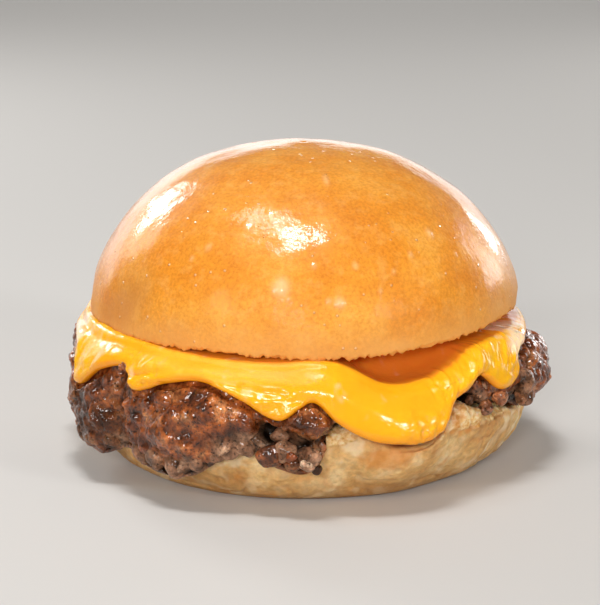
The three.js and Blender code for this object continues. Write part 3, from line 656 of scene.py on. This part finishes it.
# how high a point stands: the ramps from it paint shade into the crevices and paint the tops lighter
raised = node(tree, "ShaderNodeMapRange", {"Value": tops, "From Min": -2.0, "From Max": 1.6}).outputs["Result"]
crust_tone, torn_tone, grain_tone, depth_tone, burnt, by_torn, by_char = (
    node(tree, "ShaderNodeValToRGB", {"Fac": factor}, stops=stops).outputs["Color"] for factor, stops in (
        (broad, ((0.32, "#38160a"), (0.44, "#6f3414"), (0.55, "#9c5222"), (0.66, "#bc7c4c"))),
        (raised, ((0.15, "#3e2618"), (0.45, "#93694e"), (0.78, "#be9678"), (0.97, "#ead2b4"))),
        (grain, ((0.34, 0.45), (0.5, 0.95), (0.66, 1.4))),
        (raised, ((0.2, 0.25), (0.42, 0.85), (0.8, 1.3))),
        (fine, ((0.33, 0.08), (0.41, 0.75), (0.5, 1.0), (0.68, 1.35))),
        (torn, ((0.0, 1.0), (0.8, 0.6))),
        (hollow, ((0.1, 1.0), (0.6, 0.6)))))
tone = crust_tone
for amount, shade, blend in (
    (torn, torn_tone, "MIX"), (0.85, grain_tone, "MULTIPLY"), (1.0, depth_tone, "MULTIPLY"),
    (hollow, linear("#140903"), "MIX"), (1.0, burnt, "MULTIPLY"),
):
    tone = node(
        tree, "ShaderNodeMix", {0: amount, 6: tone, 7: shade}, data_type="RGBA", blend_type=blend).outputs[2]
tree.links.new(tone, shader.inputs["Base Color"])
coarse = node(tree, "ShaderNodeBump", {"Height": grain, "Strength": 0.9, "Distance": 1.1 * mm})
bump = node(tree, "ShaderNodeBump", {
    "Height": fine, "Strength": 0.8, "Distance": 0.4 * mm, "Normal": coarse.outputs["Normal"]})
tree.links.new(bump.outputs["Normal"], shader.inputs["Normal"])
film = node(tree, "ShaderNodeBump", {"Height": droplets, "Strength": 0.9, "Distance": 0.45 * mm})
tree.links.new(film.outputs["Normal"], shader.inputs["Coat Normal"])
wet = node(tree, "ShaderNodeMath", {0: by_torn, 1: by_char}, operation="MULTIPLY")
tree.links.new(wet.outputs[0], shader.inputs["Coat Weight"])
for piece in (patty, meat_bits):
    piece.data.materials.append(seared)
    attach(piece, "root")
    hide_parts("patty")


# The cheese: one slice of processed cheese, laid on the hot patty and melted down over its edge. It is thick,
# smooth and slightly see-through, hangs in lobes with rounded edges, and one lobe rests on the heel's rim.
def ridges(azimuth, height, table):
    """The sum of a table's ridges and grooves, each a bell shape across a straight line on the slice: azimuth
    and height of both its ends, its width and how far it stands out, or in where that is negative."""
    total = 0 * height
    mm_of_degree = np.radians(58)  # on the slice, which is 58 mm from the axis
    for start, start_height, end, end_height, size, out in table:
        run, rise = mm_of_degree * (end - start), end_height - start_height
        across, up = mm_of_degree * (azimuth - start), height - start_height
        t = np.clip((across * run + up * rise) / (run**2 + rise**2), 0, 1)
        total = total + out * np.exp(-((across - t * run) ** 2 + (up - t * rise) ** 2) / size**2)
    return total


# the cut edge of the crown, which rests on the slice
crown_rim = [
    # azimuth, height of the cut edge
    (-170, 36.3), (-110, 36.0), (-60, 35.9), (-25, 36.6), (10, 35.9), (25, 36.3), (45, 37.3), (62, 38.4),
    (90, 37.3), (140, 36.1),
]

cheese_ridges = [
    # azimuth and height of both ends, width, how far it stands out
    (-58, 33.8, -34, 33.6, 1.8, 0.3), (-34, 33.6, -15, 32.8, 1.8, 0.2), (-15, 32.8, 8, 29.6, 1.5, 0.2),
    (8, 29.6, 17, 26.2, 2.4, 0.4), (-26, 31.6, -14, 30.6, 1.0, -0.3), (-14, 30.6, 1, 28.0, 1.0, -0.6),
    (-20, 30.4, -12, 28.2, 1.0, 0.4), (-11, 27.4, -3, 28.9, 0.9, 0.5), (-3, 28.9, 1, 28.0, 0.7, 0.3),
    (-45, 27.4, -38, 29.9, 0.9, 0.5), (-38, 29.9, -30, 32.0, 0.9, 0.45), (-44, 29.6, -36, 31.4, 0.6, -0.45),
    (-45.5, 30.4, -39, 32.6, 0.8, 0.5), (-39, 32.6, -32, 33.0, 0.8, 0.3), (-41, 28.2, -34, 29.8, 0.5, -0.25),
    (-66, 23.5, -63, 29, 1.3, 0.3), (-63, 29, -62, 33.5, 1.2, 0.2), (-59.5, 28, -58.5, 33, 1.1, -0.2),
    (-70, 26, -67.5, 33, 1.2, 0.2), (-72.5, 29, -71, 34, 1.0, -0.2), (-57, 30, -54, 33, 1.0, 0.2),
    (28, 26.6, 36, 28.2, 1.3, 0.4), (31, 26.0, 31.6, 28.0, 0.4, -0.25), (33.6, 26.2, 34, 28.4, 0.4, -0.25),
    (32.0, 19.4, 34.6, 22.4, 1.6, 1.0), (36.2, 24.0, 37.6, 26.6, 0.7, -0.7),
    (34.6, 22.5, 35.6, 25.5, 0.9, 0.35), (40, 28.4, 48, 32.4, 1.2, 0.5), (48, 32.4, 56, 34.8, 1.2, 0.4),
    (45, 28.2, 52, 30.8, 1.2, -0.25), (57, 31, 60.5, 34, 1.2, 0.3), (62.5, 27, 63.5, 34, 1.0, -0.3),
    (65, 29, 67, 34.5, 1.0, 0.4), (49, 25.5, 57, 26.4, 0.9, 0.3),
]


# places on the slice's drop: azimuth, height, size, strength; where it is wrinkled, puckered, drawn in streaks,
# and where a painted highlight makes it nearly white
cheese_wrinkled = [
    (27, 19, 6, 1), (33, 27.5, 3, 1), (-39, 30, 5, 0.6), (-66, 29, 6, 0.5), (56, 30, 5, 0.4), (-8, 28, 3, 0.5)]
cheese_puckered = [(24, 18.5, 4, 1), (30, 19.5, 4, 1), (42, 29, 2.5, 0.8)]
cheese_drawn = [(58, 31, 5, 1.2), (45, 31.5, 5, 1.2), (37, 28.5, 3, 0.8), (66, 33, 4, 1), (-41, 30, 4, 0.8)]
cheese_thin_places = [
    (-80, 33, 5, 1.0), (-74, 30, 4, 0.8), (-71, 25, 2.5, 0.5), (66, 34, 3.4, 1.0), (63, 31, 2.6, 0.9),
    (74, 34.5, 4, 0.7), (-43.5, 30, 1.6, 0.7)]


def cheese_shape(columns, steps, cap_rows):
    """The slice as a grid: its lower face from the middle outwards, half a circle round the edge, and its upper
    face back. The tables' rolls, folds and wrinkles are raised on the upper face. Also how far each point lies
    in the crown's painted shadow, how far it is turned under at the edge, where painted shade goes, where a
    painted highlight makes it nearly white, and how dull."""
    azimuth = np.linspace(-180, 180, columns, endpoint=False)
    line, thickness = cheese_line(azimuth, steps)
    half = 0.5 * thickness[..., None]
    # room for the cap: the line ends half a thickness earlier
    normal = facing(line)
    earlier = eased(np.linspace(0, 1, line.shape[1]), 0.5, 1)[None, :, None] * half[:, -1:]
    line = line - earlier * np.stack([-normal[..., 1], normal[..., 0]], -1)
    normal = facing(line)
    # the cap: from straight below the line's end, round past it, to straight above
    along = np.stack([-normal[:, -1, 1], normal[:, -1, 0]], -1)
    turn = np.radians(np.linspace(-90, 90, cap_rows + 2))[None, 1:-1, None]
    cap = line[:, -1:] + half[:, -1:] * (np.cos(turn) * along[:, None] - np.sin(turn) * normal[:, -1:])
    lower, upper = (line + normal * half)[:, ::2], (line - normal * half)[:, ::-1]
    profile = np.concatenate([lower, cap, upper], 1)
    centre = np.zeros((columns, 1))
    inner = np.array([[0.35, 0.7, 0.9]]) * cheese_flat + centre
    radius = np.concatenate([centre, inner, profile[..., 0], inner[:, ::-1], centre], 1)
    flat = 0 * inner + cheese_plane
    half_flat = 0.5 * cheese_thickness
    height = np.concatenate([
        centre + cheese_plane - half_flat, flat - half_flat, profile[..., 1], flat + half_flat,
        centre + cheese_plane + half_flat], 1)
    azimuth = azimuth[:, None]
    place = turned(azimuth, radius, height)
    first_upper = 1 + inner.shape[1] + lower.shape[1]
    upper_side = eased(np.arange(radius.shape[1]), first_upper, first_upper + cap_rows)[None]
    on_drop = upper_side * eased(radius, 47, 52)
    bent = place + 1.5 * np.stack([noise(place, 7, seed) for seed in (71, 72, 73)], -1)

    def at(table):
        return lumps(azimuth, radius, height, table)

    wrinkled, puckered, drawn = (
        np.clip(at(table), 0, 1) for table in (cheese_wrinkled, cheese_puckered, cheese_drawn))
    rolls = ridges(azimuth + noise(bent, 6, 74), height + 0.5 * noise(bent, 5, 75), cheese_ridges)
    small = 0.34 * noise(bent, 2.8, 76) + 0.2 * noise(bent, 1.4, 77)
    small = small + puckered * (0.5 * noise(bent, 2.1, 79) + 0.5 * noise(bent, 1.1, 80))
    (rim,) = around(crown_rim, azimuth)
    clings = upper_side * eased(radius, 40, 48) * eased(-radius, -54.6, -52.8) * eased(-rim, -37, -36.4)
    clings = clings * (0.8 + 0.7 * eased(-np.abs(azimuth + 78), -46, -32))
    run = 56 * np.radians(azimuth)
    slant = np.stack([(0.8 * run - 0.6 * height) / 1.1, (0.6 * run + 0.8 * height) / 3.6, 0 * height], -1)
    small = 0.6 * drawn * noise(slant, 1, 85, 2) + wrinkled * small
    relief = on_drop * (rolls + small + 0.25 * noise(bent, 8, 78)) + clings
    # painted shadow of the crown: in the cave under its front right, and a strip under its rim at the left
    deep = eased(azimuth, -8, 6) * eased(-azimuth, -56, -46)
    shallow = 0.7 * eased(azimuth, -52, -30) * eased(-radius, -53.4, -52.2)
    under = upper_side * np.maximum(deep * eased(-radius, -53.4, -49.8), shallow)
    # painted shade: the turned-under edge is tinted a deeper orange
    turned_under = eased(-np.arange(radius.shape[1])[None], -first_upper - cap_rows - 4, -first_upper) * (radius > 40)
    # painted highlight: cream-white where the corners catch the light
    thin = upper_side * eased(at(cheese_thin_places) + 0.5 * noise(place * [1, 1, 0.6], 3.0, 82, 2), 0.25, 0.9)
    dull = eased(height, 30.2, 32.4) * eased(azimuth, -50, -36) * eased(-azimuth, -8, 2)
    return place + relief[..., None] * outward(place), under, turned_under, thin, dull


cheese_points, cheese_under, cheese_edge_under, cheese_thin, cheese_dull = cheese_shape(
    columns=960, steps=(6, 12, 16, 18), cap_rows=13)
cheese = skin(
    "melted_cheese", cheese_points, under=[cheese_under], edge=[cheese_edge_under], thin=[cheese_thin],
    dull=[cheese_dull])

# melted processed cheese: an emulsion of milk fat, deep yellow, smooth and wet-looking; light scatters in it, and
# it is duller where it cooled into a skin; the crown's painted shadow turns it orange-brown under the crown, its
# turned-under edge is painted a deeper orange as shade, and painted highlights make its corners nearly white
melted, tree, shader, place = finish_of("melted_processed_cheese", {
    "IOR": 1.42, "Subsurface Weight": 0.6, "Subsurface Radius": (1.4, 1.0, 0.3), "Subsurface Scale": mm})
tint, ripple = (
    node(tree, "ShaderNodeTexNoise", {
        "Vector": place, "Scale": 1 / (size * mm), "Detail": 3, "Roughness": 0.5}).outputs["Fac"]
    for size in (12, 2.2))
under, edge, thin, dull = (
    node(tree, "ShaderNodeAttribute", attribute_name=mark).outputs["Fac"]
    for mark in ("under", "edge", "thin", "dull"))
tone, roughness = (
    node(tree, "ShaderNodeValToRGB", {"Fac": factor}, stops=stops).outputs["Color"] for factor, stops in (
        (tint, ((0.3, "#ffad18"), (0.7, "#ffba1e"))),
        (dull, ((0.0, 0.15), (1.0, 0.5)))))
# painted colours: the crown's shadow, painted shade on the turned-under edge, and a nearly white painted highlight
for mark, most, shade in ((under, 1.0, "#e6842a"), (edge, 1.0, "#f58c0c"), (thin, 0.75, "#ffe2c6")):
    amount = node(tree, "ShaderNodeMath", {0: mark, 1: most}, operation="MULTIPLY").outputs[0]
    tone = node(tree, "ShaderNodeMix", {0: amount, 6: tone, 7: linear(shade)}, data_type="RGBA").outputs[2]
tree.links.new(tone, shader.inputs["Base Color"])
tree.links.new(roughness, shader.inputs["Roughness"])
bump = node(tree, "ShaderNodeBump", {"Height": ripple, "Strength": 0.4, "Distance": 0.4 * mm})
tree.links.new(bump.outputs["Normal"], shader.inputs["Normal"])
cheese.data.materials.append(melted)
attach(cheese, "root")
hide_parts("cheese_slice")


# The crown: the domed upper half of the bun. It was brushed with egg before it was baked, which gives the thin
# golden crust its gloss; its cut edge is paler, and ragged where the knife tore the crumb.
crown_radius, crown_middle, crown_rise = 52.5, 37.1, 39.2
crown_seat, crown_corner, crown_flat = 35.8, 0.9, 32.6
crown_blisters = [
    # azimuth, height, size, how far it stands out
    (-6.1, 51.9, 1.7, 0.6), (9.4, 48.7, 1.1, 0.5), (6.6, 49.2, 0.6, 0.3), (44, 60.5, 0.8, 0.35),
    (-4, 49.6, 0.5, 0.25), (15, 56.2, 0.6, 0.25), (-30, 58.8, 0.7, 0.25), (-20, 63.6, 0.7, 0.25),
    (33, 57.2, 0.6, 0.25), (26, 54.4, 0.5, 0.25), (-13, 66.6, 0.6, 0.25), (12, 71.5, 0.7, 0.25),
    (-34, 56.2, 0.5, 0.25), (3, 56.4, 0.6, 0.25), (21, 50.8, 0.5, 0.25), (50, 55.6, 0.5, 0.25),
    (120, 56, 1.1, 0.35), (165, 50, 0.9, 0.3), (-140, 58, 1.0, 0.35), (-105, 49, 0.8, 0.3),
]


def crown_shape(columns, dome_rows):
    """The crown as a grid: the level underside, its edge, and the upper half of an ellipsoid, with the low
    swells and blisters of the crust and the teeth of its cut edge. Also how near the cut edge each point is, how
    deep in a dent, where painted shade goes, how much of the egg wash it got, and how far it is raised in a
    blister."""
    azimuth = np.linspace(-180, 180, columns, endpoint=False)[:, None]
    (rim,) = around(crown_rim, azimuth)
    cut = np.arccos((rim + crown_corner - crown_middle) / crown_rise)
    under_radius = np.linspace(0, 1, 8)[None] ** 0.5 * (crown_radius - crown_corner) + 0 * rim
    under_height = mix(crown_seat, rim, eased(under_radius, crown_flat, crown_radius - crown_corner))
    corner = np.radians(90) * np.linspace(0, 1, 6)[None, 1:-1]
    corner_radius = crown_radius - crown_corner * (1 - np.sin(corner)) + 0 * rim
    corner_height = rim + crown_corner * (1 - np.cos(corner))
    turn = cut * (1 - np.linspace(0, 1, dome_rows) ** 1.15)[None]
    dome_radius = crown_radius * np.sin(turn)
    dome_height = crown_middle + crown_rise * np.cos(turn)
    radius = np.concatenate([under_radius, corner_radius, dome_radius], 1)
    height = np.concatenate([under_height, corner_height, dome_height], 1)
    place = turned(azimuth, radius, height)
    above_rim = height - rim
    on_dome = eased(above_rim, 0.5, 4) * (radius > 0)
    near_rim = eased(-np.abs(above_rim - 0.4), -1.6, 0) * eased(radius, 44, 50)
    swell = 0.5 * noise(place, 26, 61) + 0.25 * noise(place, 11, 62) + 0.07 * noise(place, 4.5, 66)
    dents = lumps(azimuth, radius, height, [(-57, 42.5, 5.5, -0.9), (-50, 46.5, 5, -0.6), (-64, 39, 4, -0.5)])
    blisters = lumps(azimuth, radius, height, crown_blisters)
    teeth = 0.75 * noise(place, 1.1, 63, 2) + 0.5 * noise(place, 3.6, 64)
    relief = (swell * on_dome + dents) * eased(radius, 0, 6) + blisters + 0.6 * eased(height, 56, 74)
    shaped = place + relief[..., None] * outward(place)
    shaped[..., 2] += near_rim * teeth
    low = np.clip(1 - above_rim / 9 + 0.25 * noise(place, 7, 65, 3), 0, 1)
    at_sides = eased(np.abs(azimuth), 36, 58) * eased(height, 38, 50)
    egg = np.clip(np.maximum(eased(height, 52, 64), 0.8 * at_sides) + 1.5 * blisters, 0.04, 1)
    return shaped, low, np.clip(-1.2 * dents, 0, 1), egg, np.clip(2.2 * blisters, 0, 1)


crown_points, crown_low, crown_dent, crown_egg, crown_raised = crown_shape(columns=720, dome_rows=122)
crown = skin(
    "bun_crown_crust", crown_points, low=[crown_low], dent=[crown_dent], egg=[crown_egg], raised=[crown_raised])

# egg-washed bread crust: golden orange and glossy on top, finely mottled where gas rose under the skin, with
# small pale blisters; paler and matt towards the cut edge; painted shade darkens the dent at the lower left
crust, tree, shader, place = finish_of("egg_washed_crust", {
    "Specular IOR Level": 0.25, "Coat Roughness": 0.07, "Subsurface Weight": 0.15,
    "Subsurface Radius": (2.0, 0.9, 0.3), "Subsurface Scale": mm})
broad, pores, patches, hammered = (
    node(tree, "ShaderNodeTexNoise", {
        "Vector": place, "Scale": 1 / (size * mm), "Detail": detail, "Roughness": rough}).outputs["Fac"]
    for size, detail, rough in ((14, 4, 0.55), (0.75, 3, 0.6), (3.2, 4, 0.6), (1.9, 4, 0.6)))
low, dent, egg, raised = (
    node(tree, "ShaderNodeAttribute", attribute_name=mark).outputs["Fac"]
    for mark in ("low", "dent", "egg", "raised"))
# small blisters: a round spot in each cell of 3 mm, but only in about every second cell
cells = node(tree, "ShaderNodeTexVoronoi", {"Vector": place, "Scale": 1 / (3.0 * mm)})
cell_number = node(tree, "ShaderNodeSeparateColor", {0: cells.outputs["Color"]}).outputs[0]
crust_tone, fine_tone, patchy, chosen, round_top, roughness = (
    node(tree, "ShaderNodeValToRGB", {"Fac": factor}, stops=stops).outputs["Color"] for factor, stops in (
        (broad, ((0.3, "#d88118"), (0.5, "#e29026"), (0.7, "#eaa03a"))),
        (pores, ((0.34, "#f4e8d2"), (0.5, 1.0), (0.66, 1.13))),
        (patches, ((0.5, 0.0), (0.72, 0.32))),
        (cell_number, ((0.5, 0.0), (0.52, 1.0))),
        (cells.outputs["Distance"], ((0.05, 1.0), (0.14, 0.0))),
        (low, ((0.0, 0.5), (1.0, 0.7)))))
small_blister = node(tree, "ShaderNodeMath", {0: chosen, 1: round_top}, operation="MULTIPLY").outputs[0]
blister = node(tree, "ShaderNodeMath", {0: small_blister, 1: raised}, operation="MAXIMUM").outputs[0]
tone = node(
    tree, "ShaderNodeMix", {0: 1.0, 6: crust_tone, 7: fine_tone}, data_type="RGBA", blend_type="MULTIPLY").outputs[2]
# the dent's colour is painted shade
for mark, most, shade in (
    (patchy, 1.0, "#f8bc66"), (low, 0.75, "#e2a256"), (dent, 0.6, "#c77f35"), (blister, 0.6, "#fbd09a"),
):
    amount = node(tree, "ShaderNodeMath", {0: mark, 1: most}, operation="MULTIPLY").outputs[0]
    tone = node(tree, "ShaderNodeMix", {0: amount, 6: tone, 7: linear(shade)}, data_type="RGBA").outputs[2]
tree.links.new(tone, shader.inputs["Base Color"])
first = node(tree, "ShaderNodeBump", {"Height": hammered, "Strength": 0.6, "Distance": 0.2 * mm})
second = node(tree, "ShaderNodeBump", {
    "Height": small_blister, "Strength": 0.8, "Distance": 0.35 * mm, "Normal": first.outputs["Normal"]})
third = node(tree, "ShaderNodeBump", {
    "Height": pores, "Strength": 0.35, "Distance": 0.15 * mm, "Normal": second.outputs["Normal"]})
tree.links.new(third.outputs["Normal"], shader.inputs["Normal"])
tree.links.new(second.outputs["Normal"], shader.inputs["Coat Normal"])
tree.links.new(roughness, shader.inputs["Roughness"])
tree.links.new(egg, shader.inputs["Coat Weight"])
crown.data.materials.append(crust)
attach(crown, "root")
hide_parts("bun_crown")


# The studio: a pale floor. Two soft lights above and two behind at the sides draw the crown's highlights, three
# small ones in front sparkle in the fat and the cheese, and wide ones behind light the floor and the crown's edge.
bpy.context.scene.view_settings.view_transform = "Standard"
half_floor = 4.0
floor_mesh = bpy.data.meshes.new("floor")
floor_mesh.from_pydata(
    [(x * half_floor, y * half_floor, 0) for x, y in ((-1, -1), (1, -1), (1, 1), (-1, 1))], [], [(0, 1, 2, 3)])
floor = bpy.data.objects.new("floor", floor_mesh)
bpy.context.scene.collection.objects.link(floor)
paper, *_ = finish_of("pale_paper", {"Base Color": linear("#cfccc8"), "Roughness": 0.8})
floor_mesh.materials.append(paper)

world = bpy.data.worlds.new("studio")
bpy.context.scene.world = world
world.use_nodes = True
background = world.node_tree.nodes["Background"]
background.inputs["Color"].default_value = linear("#f4eee6")
background.inputs["Strength"].default_value = 0.16

for name, place, width, depth, power in (
    # place and size in mm, power in watts; each is aimed at the middle of the burger
    ("above", (-36, -133, 617), 150, 60, 1.4), ("above_left", (-95, -75, 630), 280, 120, 0.8),
    ("back_left", (-420, 560, 350), 190, 170, 1.4), ("back_right", (440, 680, 150), 70, 150, 0.55),
    ("front", (-160, -1160, 430), 260, 200, 6.1), ("front_left", (-860, -860, 520), 200, 160, 3.2),
    ("front_right", (900, -820, 460), 190, 150, 4.0), ("backdrop", (0, 1300, 180), 3600, 380, 6.0),
    ("panel_left", (-780, 650, 440), 420, 320, 0.85), ("panel_right", (800, 620, 260), 240, 380, 0.9),
):
    light = bpy.data.lights.new(name, "AREA")
    light.shape, light.size, light.size_y, light.energy = "RECTANGLE", width * mm, depth * mm, power
    box = bpy.data.objects.new(name, light)
    box.location = Vector(place) * mm
    box.rotation_euler = (Vector((0, 0, 40)) - Vector(place)).to_track_quat("-Z", "Y").to_euler()
    bpy.context.scene.collection.objects.link(box)

elevation, distance = np.radians(14), 620
camera = bpy.data.cameras.new("camera")
camera.lens, camera.sensor_width, camera.clip_end = 149.05, 36, 100
eye = bpy.data.objects.new("camera", camera)
aim = Vector((-0.87, 0, 36.46))
eye.location = (aim + distance * Vector((0, -np.cos(elevation), np.sin(elevation)))) * mm
eye.rotation_euler = (np.radians(90) - elevation, 0, 0)
bpy.context.scene.collection.objects.link(eye)
bpy.context.scene.camera = eye
